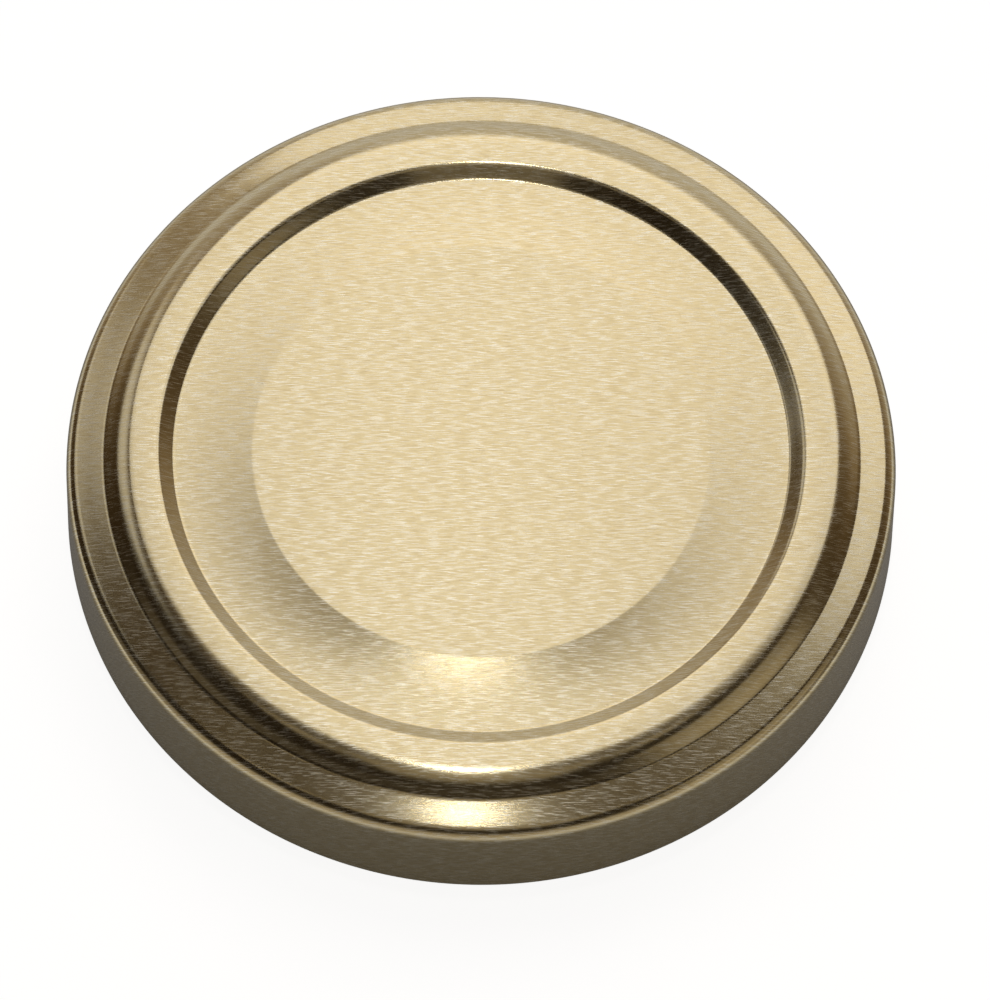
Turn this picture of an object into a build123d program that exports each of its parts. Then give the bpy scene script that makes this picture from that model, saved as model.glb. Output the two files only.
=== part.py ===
from build123d import *

import os
from math import acos, atan2, cos, hypot, pi, radians, sin, tan

# A twist-off lid for a glass jar: a cap pressed from one piece of tinplate, with a sealing
# ring of soft compound flowed into the channel under its shoulder.
# Millimetres, +Z up. The lid stands on its rolled edge as it does on a table: Z is its axis,
# and the origin is the centre of the circle that the rolled edge touches.

# The sheet and the overall size
sheet = 0.18
height = 10.1
curl_reach = 30.5
skirt_radius = 30.18

# The top, from the middle outwards, as radii of the corners of the upper surface
button_radius = 16.65
panel_radius = 22.39
step_top_radius = 23.46
ring_radius = 26.19
wall_foot_radius = 27.44

# Heights and slopes of the top
panel_depth = 0.62
button_rise = 0.21
dish_slope = 4.2
wall_slope = 38.0
shoulder_slope = 10.0

# Bend radii of the pressing, on the upper surface
button_crease = 2.0
dish_bend = 72.0
step_foot_bend = 0.45
step_top_bend = 0.80
ring_bend = 2.85
wall_foot_bend = 0.75
shoulder_bend = 1.08

# The rolled edge: the foot of the skirt turns inwards round an open tube
curl_bend = 0.80
curl_turn = 300

# The lugs that pull the lid down on the glass thread: four places where the rolled edge is
# pressed flat and inwards, until its layers meet
lug_count = 4
lug_inner_radius = 27.6
lug_outer_radius = 29.8
lug_thickness = 1.05
lug_lift = 0.20
lug_angle = 20

# The sealing ring: corners of its lower face, as radii and heights
seal_inner_radius = 24.3
seal_inner_height = 9.75
seal_bed_start = 25.3
seal_bed_top = 9.00
seal_bed_end = 27.9
seal_bed_bottom = 8.45
seal_foot_height = 7.75
seal_bend = 0.6

# Heights that follow from the sizes above
panel_height = height - panel_depth
button_height = panel_height + button_rise
wall_foot_height = height - (wall_foot_radius - ring_radius) * tan(radians(wall_slope))
shoulder_fall = (skirt_radius - wall_foot_radius) * tan(radians(shoulder_slope))
shoulder_height = wall_foot_height - shoulder_fall
dish_radius = button_radius + button_rise / tan(radians(dish_slope))

# The slight taper of the skirt, in radians: it runs straight down to touch the rolled edge
curl_radius = curl_reach - curl_bend
skirt_run = skirt_radius - curl_radius
skirt_drop = shoulder_height - curl_bend
skirt_taper = atan2(skirt_drop, skirt_run) - acos(curl_bend / hypot(skirt_run, skirt_drop))


def sheet_section():
    """Half the lid's section, right of the axis: one line, given the thickness of the sheet."""
    skirt_foot = (
        curl_radius + curl_bend * cos(skirt_taper),
        curl_bend + curl_bend * sin(skirt_taper),
    )
    pressed = FilletPolyline(
        (0, button_height),
        (button_radius, button_height),
        (dish_radius, panel_height),
        (panel_radius, panel_height),
        (step_top_radius, height),
        (ring_radius, height),
        (wall_foot_radius, wall_foot_height),
        (skirt_radius, shoulder_height),
        skirt_foot,
        radius=[
            button_crease,
            dish_bend,
            step_foot_bend,
            step_top_bend,
            ring_bend,
            wall_foot_bend,
            shoulder_bend,
        ],
    )
    start = skirt_taper * 180 / pi
    rolled = CenterArc((curl_radius, curl_bend), curl_bend, start, -curl_turn - start)
    outline = Wire(pressed.edges() + rolled.edges())
    return make_face(offset(outline, sheet, side=Side.RIGHT, closed=True))


def lug():
    """One lug: a flat tab with a rounded lip, rooted in the rolled edge."""
    reach = lug_outer_radius - lug_inner_radius
    middle = ((lug_outer_radius + lug_inner_radius) / 2, lug_lift + lug_thickness / 2)
    section = Pos(*middle) * RectangleRounded(reach, lug_thickness, 0.45 * lug_thickness)
    tab = revolve(Plane.XZ * section, Axis.Z, lug_angle)
    return Rot(0, 0, -lug_angle / 2) * tab


def lid_shell():
    """The pressed cap with its rolled edge and its lugs."""
    cap = revolve(Plane.XZ * sheet_section(), Axis.Z)
    for place in range(lug_count):
        cap += Rot(0, 0, place * 360 / lug_count) * lug()
    return cap


def sealing_ring():
    """The compound that lies against the sheet all along the channel and up to the skirt."""
    above = height + sheet
    outside = curl_reach + sheet
    lower_face = FilletPolyline(
        (seal_inner_radius, above),
        (seal_inner_radius, seal_inner_height),
        (seal_bed_start, seal_bed_top),
        (seal_bed_end, seal_bed_bottom),
        (outside, seal_foot_height),
        radius=[0, seal_bend, seal_bend],
    )
    closing = Polyline((outside, seal_foot_height), (outside, above), (seal_inner_radius, above))
    blank = make_face(Wire(lower_face.edges() + closing.edges()))
    under_the_sheet = (blank - sheet_section()).faces().sort_by(Axis.Y)[0]
    return revolve(Plane.XZ * under_the_sheet, Axis.Z)


os.makedirs("parts", exist_ok=True)
export_step(lid_shell(), "parts/lid_shell.step")
export_step(sealing_ring(), "parts/sealing_ring.step")
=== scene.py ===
from math import acos, atan2, cos, hypot, radians, sin, tan

import bpy
import numpy as np
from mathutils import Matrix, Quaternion, Vector


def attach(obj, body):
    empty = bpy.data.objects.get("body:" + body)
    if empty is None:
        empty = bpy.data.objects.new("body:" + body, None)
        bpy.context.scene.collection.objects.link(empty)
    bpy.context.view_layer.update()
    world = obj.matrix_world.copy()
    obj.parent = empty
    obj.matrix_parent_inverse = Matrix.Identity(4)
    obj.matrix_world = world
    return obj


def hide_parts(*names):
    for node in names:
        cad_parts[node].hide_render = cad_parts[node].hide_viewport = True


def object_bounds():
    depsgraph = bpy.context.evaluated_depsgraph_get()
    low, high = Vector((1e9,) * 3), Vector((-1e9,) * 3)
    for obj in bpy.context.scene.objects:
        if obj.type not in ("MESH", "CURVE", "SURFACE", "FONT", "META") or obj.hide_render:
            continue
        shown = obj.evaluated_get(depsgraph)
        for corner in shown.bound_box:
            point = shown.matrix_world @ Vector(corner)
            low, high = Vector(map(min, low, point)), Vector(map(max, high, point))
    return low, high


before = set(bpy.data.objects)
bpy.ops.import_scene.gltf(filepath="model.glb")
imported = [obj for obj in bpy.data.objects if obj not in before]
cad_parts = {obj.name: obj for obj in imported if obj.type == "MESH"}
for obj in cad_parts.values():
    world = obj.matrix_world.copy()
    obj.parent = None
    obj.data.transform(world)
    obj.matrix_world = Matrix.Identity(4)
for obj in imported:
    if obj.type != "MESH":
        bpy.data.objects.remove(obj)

cadLow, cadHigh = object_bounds()
mm = 0.001
mapSpan = 100  # millimetres of the flat blank that one unit of the texture map covers


# Turns an sRGB hex colour such as "E2D0A8" into the linear RGBA that Blender's sockets take.
def linearColor(hexCode):
    srgb = np.array([int(hexCode[i:i + 2], 16) / 255 for i in (0, 2, 4)])
    linear = np.where(srgb <= 0.04045, srgb / 12.92, ((srgb + 0.055) / 1.055) ** 2.4)
    return (*linear, 1.0)


# Adds one node, sets its settings, and fills or links its inputs.
def addNode(tree, kind, settings=None, inputs=None):
    node = tree.nodes.new("ShaderNode" + kind)
    for name, value in (settings or {}).items():
        setattr(node, name, value)
    for name, value in (inputs or {}).items():
        if isinstance(value, bpy.types.NodeSocket):
            tree.links.new(value, node.inputs[name])
        else:
            node.inputs[name].default_value = value
    return node


# Gives a colour ramp its stops, each a position and an sRGB hex colour.
def setRamp(ramp, stops):
    while len(ramp.elements) < len(stops):
        ramp.elements.new(0.5)
    for element, (position, colour) in zip(ramp.elements, stops):
        element.position = position
        element.color = linearColor(colour)


def newMaterial(name):
    material = bpy.data.materials.new(name)
    material.use_nodes = True
    material.node_tree.nodes.clear()
    return material, material.node_tree


# The sheet: one section line, turned round the axis. Millimetres and degrees.
lid = {
    "sheet": 0.18,  # thickness of the tinplate
    "buttonRadius": 16.65,  # flat raised middle
    "buttonRise": 0.21,
    "buttonCrease": 2.0,
    "dishSlope": 4.2,  # at the edge of the button
    "dishBend": 72.0,
    "panelRadius": 22.39,
    "panelDepth": 0.62,
    "stepFootBend": 0.45,
    "stepTopRadius": 23.46,
    "stepTopBend": 0.80,
    "ringRadius": 26.19,
    "ringBend": 2.85,
    "wallFootRadius": 27.44,
    "wallSlope": 38.0,
    "wallFootBend": 0.75,
    "shoulderSlope": 10.0,
    "shoulderBend": 1.08,
    "skirtInset": 0.32,  # the rolled edge stands this proud of the shoulder
    "curlBend": 0.80,
    "curlTurn": 300,
    "curlPoints": 46,
    "segments": 320,  # round the axis
}

lug = {
    "count": 4,
    "reach": 2.9,  # from the outside of the rolled edge to the lug's lip
    "thickness": 1.05,
    "lift": 0.20,
    "angle": 20,
    "blend": 3.0,  # degrees over which the rolled edge turns into the lug
}


# A line whose corners are arcs of the given radii, tangent to both sides: an arc that turns by
# an angle a with radius r starts r tan(a / 2) before its corner. Points are no further apart
# than step along straight runs, and 4 degrees apart along arcs.
def roundedLine(corners, bends, step):
    corners = [np.array(c, float) for c in corners]
    points = [corners[0][None]]
    for before, at, after, bend in zip(corners, corners[1:], corners[2:], bends):
        come = (at - before) / np.linalg.norm(at - before)
        leave = (after - at) / np.linalg.norm(after - at)
        turn = atan2(come[0] * leave[1] - come[1] * leave[0], come @ leave)
        start = at - come * bend * tan(abs(turn) / 2)
        normal = np.array([-come[1], come[0]]) * np.sign(turn)
        angles = np.linspace(0, abs(turn), 4 + int(abs(turn) / radians(4)))[:, None]
        arc = start + bend * (np.sin(angles) * come + (1 - np.cos(angles)) * normal)
        points += [straightRun(points[-1][-1], start, step), arc]
    points.append(straightRun(points[-1][-1], corners[-1], step))
    points.append(corners[-1][None])
    return np.vstack(points)


# Points evenly between a and b, without the two ends.
def straightRun(a, b, step):
    count = int(np.linalg.norm(b - a) / step)
    share = (np.arange(1, count + 1) / (count + 1))[:, None]
    return a + share * (b - a)


# The outer line of the section from the axis to the lip of the rolled edge, its distance along
# the sheet, and the inner line: each outer point moved back along its normal by the thickness.
# The skirt runs straight from the shoulder's corner to touch the rolled edge's circle: with the
# corner at angle b and distance d from the circle's centre, it touches at b - arccos(r / d).
def sheetLines():
    reach, height = cadHigh.x / mm, cadHigh.z / mm
    skirt = reach - lid["skirtInset"]
    panel = height - lid["panelDepth"]
    button = panel + lid["buttonRise"]
    dishEnd = lid["buttonRadius"] + lid["buttonRise"] / tan(radians(lid["dishSlope"]))
    wallFoot = height - (lid["wallFootRadius"] - lid["ringRadius"]) * tan(radians(lid["wallSlope"]))
    shoulder = wallFoot - (skirt - lid["wallFootRadius"]) * tan(radians(lid["shoulderSlope"]))
    bend = lid["curlBend"]
    centre = np.array([reach - bend, bend])
    run, rise = skirt - centre[0], shoulder - bend
    touch = atan2(rise, run) - acos(bend / hypot(run, rise))
    corners = [
        (0, button), (lid["buttonRadius"], button), (dishEnd, panel), (lid["panelRadius"], panel),
        (lid["stepTopRadius"], height), (lid["ringRadius"], height),
        (lid["wallFootRadius"], wallFoot), (skirt, shoulder),
        centre + bend * np.array([cos(touch), sin(touch)]),
    ]
    bends = [
        lid["buttonCrease"], lid["dishBend"], lid["stepFootBend"], lid["stepTopBend"],
        lid["ringBend"], lid["wallFootBend"], lid["shoulderBend"],
    ]
    pressed = roundedLine(corners, bends, step=0.9)
    turn = np.linspace(touch, -radians(lid["curlTurn"]), lid["curlPoints"])[1:, None]
    rolled = centre + bend * np.hstack([np.cos(turn), np.sin(turn)])
    outer = np.vstack([pressed, rolled])
    outer = outer[np.r_[True, np.linalg.norm(np.diff(outer, axis=0), axis=1) > 1e-4]]
    along = np.r_[0, np.cumsum(np.linalg.norm(np.diff(outer, axis=0), axis=1))]
    tangent = np.gradient(outer, along, axis=0)
    tangent[0] = (1, 0)
    tangent /= np.linalg.norm(tangent, axis=1)[:, None]
    normal = np.stack([-tangent[:, 1], tangent[:, 0]], 1)
    inner = outer - lid["sheet"] * normal
    return outer, along, inner


# Presses the inner half of the rolled edge inwards and flat at each lug. The tube is stretched
# towards the axis and squeezed from above, by a weight that is 1 within the lug's angle, 0
# outside it with a smooth step between, and 0 on the outer side of the tube.
def pressLugs(radius, height, angle, reach):
    pitch = 2 * np.pi / lug["count"]
    off = np.degrees(np.abs((angle + pitch / 2) % pitch - pitch / 2))
    onLug = smoothStep((lug["angle"] / 2 + lug["blend"] / 2 - off) / lug["blend"])
    tube = 2 * lid["curlBend"]
    inCurl = (height <= tube + 0.02) & (radius < reach + 0.02)
    inward = smoothStep((reach - 0.25 * tube - radius) / (0.35 * tube))
    weight = onLug * inward * inCurl
    pressedRadius = reach - (reach - radius) * lug["reach"] / tube
    pressedHeight = lug["lift"] + height * lug["thickness"] / tube
    return radius + weight * (pressedRadius - radius), height + weight * (pressedHeight - height)


def smoothStep(x):
    x = np.clip(x, 0, 1)
    return x * x * (3 - 2 * x)


# A surface of revolution as a grid: row i of radius and height (millimetres) at every angle.
# With poles, the first and last rows are on the axis and become one vertex each; without them
# the rows close into a ring. Faces are wound so that they point outwards.
def turnedMesh(name, radius, height, angle, poles):
    rows, columns = radius.shape
    grid = np.stack([radius * np.cos(angle), radius * np.sin(angle), height], -1) * mm
    mesh = bpy.data.meshes.new(name)
    if poles:
        points = np.vstack([grid[0, :1], grid[1:-1].reshape(-1, 3), grid[-1, :1]])
        index = 1 + np.arange((rows - 2) * columns).reshape(rows - 2, columns)
        last = len(points) - 1
    else:
        points = grid.reshape(-1, 3)
        index = np.arange(rows * columns).reshape(rows, columns)
        index = np.vstack([index, index[:1]])
    beside = np.roll(index, -1, axis=1)
    quads = np.stack([index[:-1], index[1:], beside[1:], beside[:-1]], -1).reshape(-1, 4)
    corners, sizes = quads.ravel(), np.full(len(quads), 4)
    if poles:
        top = np.stack([np.zeros(columns, int), index[0], beside[0]], -1)
        bottom = np.stack([index[-1], np.full(columns, last), beside[-1]], -1)
        corners = np.concatenate([top.ravel(), corners, bottom.ravel()])
        sizes = np.concatenate([np.full(columns, 3), sizes, np.full(columns, 3)])
    mesh.vertices.add(len(points))
    mesh.vertices.foreach_set("co", points.ravel())
    mesh.loops.add(len(corners))
    mesh.loops.foreach_set("vertex_index", corners)
    mesh.polygons.add(len(sizes))
    mesh.polygons.foreach_set("loop_start", np.r_[0, np.cumsum(sizes)[:-1]])
    mesh.polygons.foreach_set("use_smooth", np.ones(len(sizes), bool))
    mesh.update(calc_edges=True)
    mesh.validate()
    return mesh


def makeLid(outside, inside):
    outer, along, inner = sheetLines()
    reach = cadHigh.x / mm
    lip = (outer[-1] + inner[-1]) / 2
    across = (outer[-1] - inner[-1]) / 2
    ahead = np.array([across[1], -across[0]])
    turn = np.radians(np.array([45, 90, 135]))[:, None]
    edge = lip + np.cos(turn) * across + np.sin(turn) * ahead
    section = np.vstack([outer, edge, inner[::-1]])
    section[[0, -1], 0] = 0
    blank = np.r_[along, np.full(3, along[-1]), along[::-1]]
    angle = np.linspace(0, 2 * np.pi, lid["segments"], endpoint=False)[None]
    radius, height = np.broadcast_arrays(section[:, :1], angle)[0], section[:, 1:] + 0 * angle
    curl = np.arange(len(section))[:, None]
    start = len(outer) - lid["curlPoints"]
    rolled = (curl > start) & (curl < len(section) - start)
    pressedRadius, pressedHeight = pressLugs(radius, height, angle, reach)
    radius = np.where(rolled, pressedRadius, radius)
    height = np.where(rolled, pressedHeight, height)
    mesh = turnedMesh("lidShell", radius, height, angle + 0 * radius, poles=True)
    mesh.materials.append(outside)
    mesh.materials.append(inside)
    segments = lid["segments"]
    underside = np.arange(len(mesh.polygons)) >= (len(outer) + 2) * segments
    mesh.polygons.foreach_set("material_index", underside.astype(int))
    # the map is the flat round blank: distance along the sheet, and the angle round the axis
    flat = np.stack([blank[:, None] * np.cos(angle), blank[:, None] * np.sin(angle)], -1)
    flat = np.vstack([flat[0, :1], flat[1:-1].reshape(-1, 2), flat[-1, :1]])
    corners = np.zeros(len(mesh.loops), int)
    mesh.loops.foreach_get("vertex_index", corners)
    faceSizes = np.zeros(len(mesh.polygons), int)
    mesh.polygons.foreach_get("loop_total", faceSizes)
    uv = 0.5 + flat[corners] / mapSpan
    uv[:, 0] += np.repeat(underside, faceSizes)
    mesh.uv_layers.new(name="blank").uv.foreach_set("vector", uv.astype(np.float32).ravel())
    lidShell = bpy.data.objects.new("lidShell", mesh)
    bpy.context.scene.collection.objects.link(lidShell)
    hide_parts("lid_shell")
    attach(lidShell, "root")
    print("lid shell:", len(mesh.polygons), "faces,", len(outer), "points on the outer line")
    return lidShell, inner


# The sealing ring, flowed in while liquid: corners of its lower face, in millimetres.
seal = {
    "innerRadius": 24.3,
    "innerHeight": 9.75,
    "bedStart": 25.3,
    "bedTop": 9.0,
    "bedEnd": 27.9,
    "bedBottom": 8.45,
    "footHeight": 7.92,  # where it thins out on the skirt
    "bend": 0.6,
    "segments": 240,
}


# The ring's section is closed by the underside of the sheet above and, below, by the bed where
# the glass rim presses.
def makeSeal(inner, compound):
    under = (inner[:, 0] >= seal["innerRadius"]) & (inner[:, 1] >= seal["footHeight"])
    contact = inner[under]
    below = roundedLine(
        [contact[-1], (seal["bedEnd"], seal["bedBottom"]), (seal["bedStart"], seal["bedTop"]),
         (contact[0][0], seal["innerHeight"]), contact[0]],
        [seal["bend"], seal["bend"], 0.05], step=0.3)
    section = np.vstack([contact, below[1:-1]])
    angle = np.linspace(0, 2 * np.pi, seal["segments"], endpoint=False)[None]
    radius, level = section[:, :1] + 0 * angle, section[:, 1:] + 0 * angle
    mesh = turnedMesh("sealingRing", radius, level, angle + 0 * radius, poles=False)
    mesh.materials.append(compound)
    sealingRing = bpy.data.objects.new("sealingRing", mesh)
    bpy.context.scene.collection.objects.link(sealingRing)
    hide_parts("sealing_ring")
    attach(sealingRing, "root")
    print("sealing ring:", len(mesh.polygons), "faces")
    return sealingRing


goldLook = {
    "colour": "E2D1A5",
    "lineColour": "CBB587",
    # the pale tone painted into the colour where the noise is highest: a painted highlight standing
    # in for glints
    "paintedGlintColour": "FFF9E6",
    "roughness": 0.20,
    "lineRoughness": 0.33,
    "anisotropy": 0.8,
    "coat": 0.5,
    "coatRoughness": 0.10,
    "lineLength": 1.25,  # mm: the rolling lines that show, drawn coarser than the mill's finest
    "linePitch": 0.048,
    "latticeTurn": 31,  # degrees, so that the noise's own grid doesn't show as columns
    "lineDepth": 0.0008,
}


# Tinplate, finely ground by the mill's rolls, under clear gold lacquer: a satin metal whose
# highlights spread across the rolling lines, with a smooth gloss on top. The lines run the same
# way across the whole lid, because the blank was cut from one sheet.
def goldLacquer():
    material, tree = newMaterial("goldLacqueredTinplate")
    place = addNode(tree, "UVMap", {"uv_map": "blank"})
    pitch = (mapSpan / goldLook["lineLength"], mapSpan / goldLook["linePitch"], 1)
    lines = addNode(tree, "Mapping", None, {
        "Vector": place.outputs["UV"], "Scale": pitch,
        "Rotation": (0, 0, radians(goldLook["latticeTurn"]))})
    ground = addNode(tree, "TexNoise", {"noise_dimensions": "2D"}, {
        "Vector": lines.outputs["Vector"], "Scale": 1.0, "Detail": 1.0, "Roughness": 0.5})
    tone = addNode(tree, "ValToRGB", None, {"Fac": ground.outputs["Fac"]})
    # dark rolling lines in the noise's lows, plain between, and in its highs a near-white painted
    # highlight: glints of the lamps painted into the colour
    tones = [(0.28, "lineColour"), (0.40, "colour"), (0.58, "colour"), (0.66, "paintedGlintColour")]
    setRamp(tone.color_ramp, [(position, goldLook[name]) for position, name in tones])
    open = addNode(tree, "MapRange", {"clamp": True}, {
        "Value": ground.outputs["Fac"], "From Min": 0.58, "From Max": 0.72,
        "To Min": goldLook["roughness"], "To Max": goldLook["lineRoughness"]})
    bump = addNode(tree, "Bump", None, {
        "Height": ground.outputs["Fac"], "Strength": 1.0, "Distance": goldLook["lineDepth"] * mm})
    grain = addNode(tree, "Tangent", {"direction_type": "UV_MAP", "uv_map": "blank"})
    shader = addNode(tree, "BsdfPrincipled", None, {
        "Base Color": tone.outputs["Color"], "Metallic": 1.0, "Roughness": open.outputs["Result"],
        "Anisotropic": goldLook["anisotropy"], "Anisotropic Rotation": 0.25,
        "Tangent": grain.outputs["Tangent"], "Normal": bump.outputs["Normal"],
        "Coat Weight": goldLook["coat"], "Coat Roughness": goldLook["coatRoughness"]})
    addNode(tree, "OutputMaterial", None, {"Surface": shader.outputs["BSDF"]})
    return material


insideLook = {"colour": "D9C08A", "roughness": 0.38}


# Food-safe gold lacquer inside the lid: thicker, so softer and a little darker.
def insideLacquer():
    material, tree = newMaterial("insideGoldLacquer")
    shader = addNode(tree, "BsdfPrincipled", None, {
        "Base Color": linearColor(insideLook["colour"]), "Metallic": 1.0,
        "Roughness": insideLook["roughness"]})
    addNode(tree, "OutputMaterial", None, {"Surface": shader.outputs["BSDF"]})
    return material


sealLook = {"colour": "E6DFCB", "roughness": 0.55}


# Cured plastisol: a soft vinyl, smooth and waxy, that scatters a little light.
def sealCompound():
    material, tree = newMaterial("plastisolCompound")
    shader = addNode(tree, "BsdfPrincipled", None, {
        "Base Color": linearColor(sealLook["colour"]), "Roughness": sealLook["roughness"],
        "Subsurface Weight": 0.15, "Subsurface Scale": 0.5 * mm})
    addNode(tree, "OutputMaterial", None, {"Surface": shader.outputs["BSDF"]})
    return material


view = {
    "elevation": 64.2,
    "distance": 426.3,  # mm, from the middle of the lid's foot
    "lens": 207,
    "roll": 1.2,
    "aim": (1.06, 0.49, 0.0),
}


def makeCamera():
    rise = radians(view["elevation"])
    back = Vector((0, -cos(rise), sin(rise)))
    camera = bpy.data.objects.new("camera", bpy.data.cameras.new("camera"))
    camera.data.lens = view["lens"]
    camera.location = (Vector(view["aim"]) + back * view["distance"]) * mm
    camera.rotation_mode = "QUATERNION"
    roll = Quaternion((0, 0, 1), radians(view["roll"]))
    camera.rotation_quaternion = back.to_track_quat("Z", "Y") @ roll
    camera.data.clip_start = 0.01
    bpy.context.scene.collection.objects.link(camera)
    bpy.context.scene.camera = camera


# A lamp stands 1 m from the lid. Its place is two turns from straight up, in degrees: back,
# away from the viewer, and then aside, to the right. Size is in metres, aside and back. Level is
# the brightness that a mirror would show.
lamps = {
    "overhead": {"back": 35, "aside": 9, "size": (0.80, 0.60), "level": 0.90},
    "spot": {"back": 6.5, "aside": -0.8, "size": (0.055, 0.055), "level": 38.0},
    "front": {"back": -17, "aside": 0, "size": (0.45, 0.42), "level": 0.25, "tint": "FFF1D6"},
    "leftPanel": {"back": 26, "aside": -38, "size": (0.46, 0.40), "level": 0.55},
    "frontLeft": {"back": -6, "aside": -18, "size": (0.14, 0.14), "level": 0.4, "tint": "FFF1D6"},
    "frontRight": {"back": -6, "aside": 18, "size": (0.14, 0.14), "level": 0.4, "tint": "FFF1D6"},
    "right": {"back": -20, "aside": 51, "size": (0.60, 0.60), "level": 0.26, "tint": "FFF1D6"},
}


def makeLamp(name, back, aside, size, level, tint="FFFFFF"):
    back, aside = radians(back), radians(aside)
    out = Vector((cos(back) * sin(aside), sin(back), cos(back) * cos(aside)))
    lamp = bpy.data.objects.new(name, bpy.data.lights.new(name, "AREA"))
    lamp.data.shape = "RECTANGLE"
    lamp.data.size, lamp.data.size_y = size
    lamp.data.energy = level * size[0] * size[1] * np.pi
    lamp.data.color = linearColor(tint)[:3]
    lamp.location = out
    lamp.rotation_mode = "QUATERNION"
    lamp.rotation_quaternion = out.to_track_quat("Z", "Y")
    bpy.context.scene.collection.objects.link(lamp)


# The room: a pale backdrop on the far side, under a dark ceiling, and darker and warmer towards
# the sides and the viewer. The camera itself sees white. Each stop is a place and its colour. The
# place is the direction's part to the far side, less these shares of its parts up, to either
# side and to the left, and then 0 to 1 for -1 to 1. Low in front the room is paler again.
roomTurn = {"up": -0.5, "side": -0.45, "right": 0.2}
lowFront = {"colour": "A39A8C", "top": 0.55, "full": 0.30}
room = [
    (0.15, "1A130C"), (0.36, "3A2D1D"), (0.50, "5A4A34"), (0.55, "8A7860"), (0.65, "988D7C"),
    (0.73, "A8A097"), (0.85, "C3BEB6"),
]


def makeWorld():
    world = bpy.data.worlds.new("studio")
    bpy.context.scene.world = world
    world.use_nodes = True
    tree = world.node_tree
    tree.nodes.clear()
    way = addNode(tree, "TexCoord")
    parts = addNode(tree, "SeparateXYZ", None, {"Vector": way.outputs["Generated"]})
    aside = addNode(tree, "Math", {"operation": "ABSOLUTE"})
    tree.links.new(parts.outputs["X"], aside.inputs[0])
    place = parts.outputs["Y"]
    for part, share in (
        (parts.outputs["Z"], roomTurn["up"]), (aside.outputs[0], roomTurn["side"]),
        (parts.outputs["X"], roomTurn["right"]),
    ):
        step = addNode(tree, "Math", {"operation": "MULTIPLY_ADD"})
        tree.links.new(part, step.inputs[0])
        step.inputs[1].default_value = share
        tree.links.new(place, step.inputs[2])
        place = step.outputs[0]
    depth = addNode(tree, "MapRange", {"clamp": True}, {
        "Value": place, "From Min": -1.0, "From Max": 1.0})
    shade = addNode(tree, "ValToRGB", None, {"Fac": depth.outputs["Result"]})
    setRamp(shade.color_ramp, room)
    seen = addNode(tree, "LightPath")
    around = addNode(tree, "Background", None, {"Color": shade.outputs["Color"], "Strength": 1.0})
    low = addNode(tree, "MapRange", {"clamp": True, "interpolation_type": "SMOOTHSTEP"}, {
        "Value": parts.outputs["Z"], "From Min": lowFront["top"], "From Max": lowFront["full"]})
    front = addNode(tree, "MapRange", {"clamp": True}, {
        "Value": parts.outputs["Y"], "From Min": 0.0, "From Max": -0.6})
    both = addNode(tree, "Math", {"operation": "MULTIPLY"})
    tree.links.new(low.outputs["Result"], both.inputs[0])
    tree.links.new(front.outputs["Result"], both.inputs[1])
    pale = addNode(tree, "Background", None, {
        "Color": linearColor(lowFront["colour"]), "Strength": 1.0})
    walls = addNode(tree, "MixShader", None, {"Fac": both.outputs[0]})
    tree.links.new(around.outputs["Background"], walls.inputs[1])
    tree.links.new(pale.outputs["Background"], walls.inputs[2])
    white = addNode(tree, "Background", None, {"Color": linearColor("FFFFFF"), "Strength": 1.0})
    mix = addNode(tree, "MixShader", None, {"Fac": seen.outputs["Is Camera Ray"]})
    tree.links.new(walls.outputs["Shader"], mix.inputs[1])
    tree.links.new(white.outputs["Background"], mix.inputs[2])
    addNode(tree, "OutputWorld", None, {"Surface": mix.outputs["Shader"]})


floorLook = {
    "colour": "A8A8A8",
    "lift": 0.90,
    "liftInMetal": 0.45,
    # painted shade in the floor's glow for the metal: low close by the lid, full further off
    "paintedShadeLift": 0.05,
    "paintedShadeWithin": 0.036,  # metres from the lid's axis
    "paleBeyond": 0.065,
    "half": 1.5,
}


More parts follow.
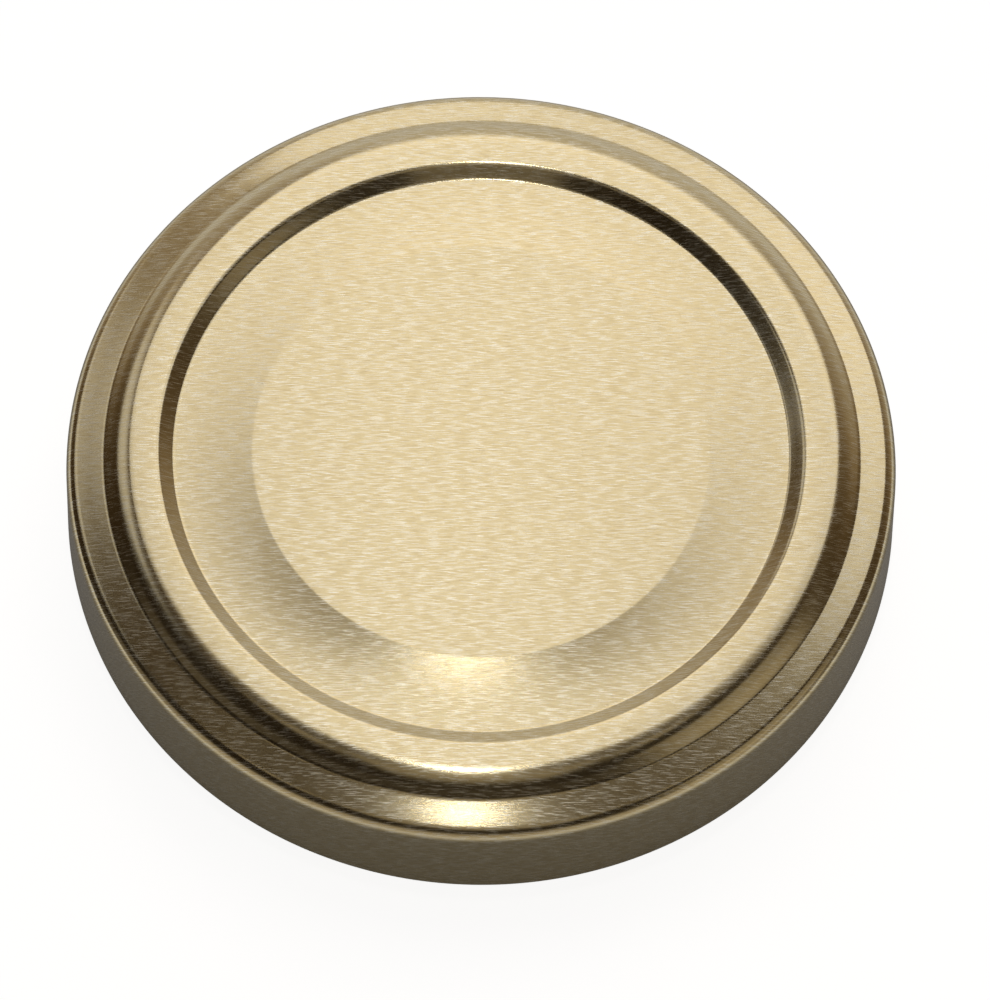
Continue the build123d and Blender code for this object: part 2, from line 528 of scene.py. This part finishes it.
# A pale table top that keeps the lid's soft shadow. It is lifted to white for the camera, and
# partly for the metal, which shows it pale further off and dim close by, where the lid stands: that
# dimming is painted shade in the glow.
def makeFloor():
    material, tree = newMaterial("paleTable")
    seen = addNode(tree, "LightPath")
    place = addNode(tree, "TexCoord")
    away = addNode(tree, "VectorMath", {"operation": "LENGTH"})
    tree.links.new(place.outputs["Object"], away.inputs[0])
    # painted shade: the glow the metal sees is dim near the lid's axis and pale beyond
    pale = addNode(tree, "MapRange", {"clamp": True, "interpolation_type": "SMOOTHSTEP"}, {
        "Value": away.outputs["Value"], "From Min": floorLook["paintedShadeWithin"],
        "From Max": floorLook["paleBeyond"], "To Min": floorLook["paintedShadeLift"],
        "To Max": floorLook["liftInMetal"]})
    metal = addNode(tree, "Math", {"operation": "MULTIPLY"})
    tree.links.new(seen.outputs["Is Glossy Ray"], metal.inputs[0])
    tree.links.new(pale.outputs["Result"], metal.inputs[1])
    lift = addNode(tree, "Math", {"operation": "MULTIPLY_ADD"})
    tree.links.new(seen.outputs["Is Camera Ray"], lift.inputs[0])
    lift.inputs[1].default_value = floorLook["lift"]
    tree.links.new(metal.outputs[0], lift.inputs[2])
    paint = addNode(tree, "BsdfDiffuse", None, {"Color": linearColor(floorLook["colour"])})
    glow = addNode(tree, "Emission", None, {
        "Color": linearColor("FFFFFF"), "Strength": lift.outputs[0]})
    lifted = addNode(tree, "AddShader")
    tree.links.new(paint.outputs["BSDF"], lifted.inputs[0])
    tree.links.new(glow.outputs["Emission"], lifted.inputs[1])
    addNode(tree, "OutputMaterial", None, {"Surface": lifted.outputs["Shader"]})
    half = floorLook["half"]
    mesh = bpy.data.meshes.new("floor")
    corners = [(-half, -half, 0), (half, -half, 0), (half, half, 0), (-half, half, 0)]
    mesh.from_pydata(corners, [], [(0, 1, 2, 3)])
    mesh.materials.append(material)
    floor = bpy.data.objects.new("floor", mesh)
    bpy.context.scene.collection.objects.link(floor)


bpy.context.scene.view_settings.view_transform = "Standard"
makeCamera()
for name, settings in lamps.items():
    makeLamp(name, **settings)
makeWorld()
makeFloor()
lidShell, innerLine = makeLid(goldLacquer(), insideLacquer())
makeSeal(innerLine, sealCompound())
